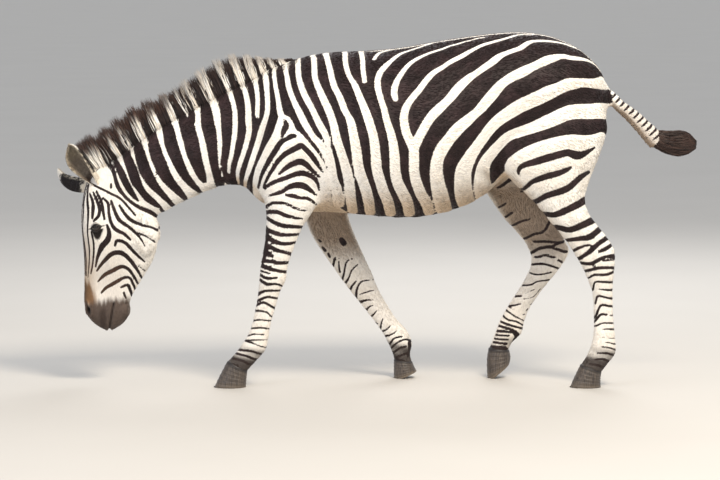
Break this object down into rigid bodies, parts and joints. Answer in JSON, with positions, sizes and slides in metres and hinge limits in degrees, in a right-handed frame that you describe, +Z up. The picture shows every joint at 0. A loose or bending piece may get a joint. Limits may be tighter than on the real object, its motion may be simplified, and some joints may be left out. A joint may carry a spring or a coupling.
{
  "type": "zebra",
  "caption": "Life-size plains zebra as a still museum model, walking with its head lowered, with striped coat, upright mane and tail tuft.",
  "frame": {"origin": "middle of the whole box in X and Y, on the floor that the hooves stand on", "axes": "+Z up, the animal faces -X, its left side is towards -Y"},
  "size_m": [2.326, 0.5708, 1.2697],
  "materials": {
    "coat": "short striped hair, satin",
    "mane_hair": "stiff upright hair, matt",
    "tuft_hair": "long loose hair, matt",
    "eye": "wet gloss",
    "hoof_horn": "worn horn, matt"
  },
  "bodies": {
    "root": {"head": "coat", "neck": "coat", "trunk": "coat", "tail_dock": "coat", "foreleg_left_upper": "coat", "foreleg_left_lower": "coat", "foreleg_right_upper": "coat", "foreleg_right_lower": "coat", "hindleg_left_upper": "coat", "hindleg_left_lower": "coat", "hindleg_right_upper": "coat", "hindleg_right_lower": "coat", "ear_left": "coat", "ear_right": "coat", "mane": "mane_hair", "tail_tuft": "tuft_hair", "eye_left": "eye", "eye_right": "eye", "hoof_fore_left": "hoof_horn", "hoof_fore_right": "hoof_horn", "hoof_hind_left": "hoof_horn", "hoof_hind_right": "hoof_horn"}
  },
  "joints": []
}
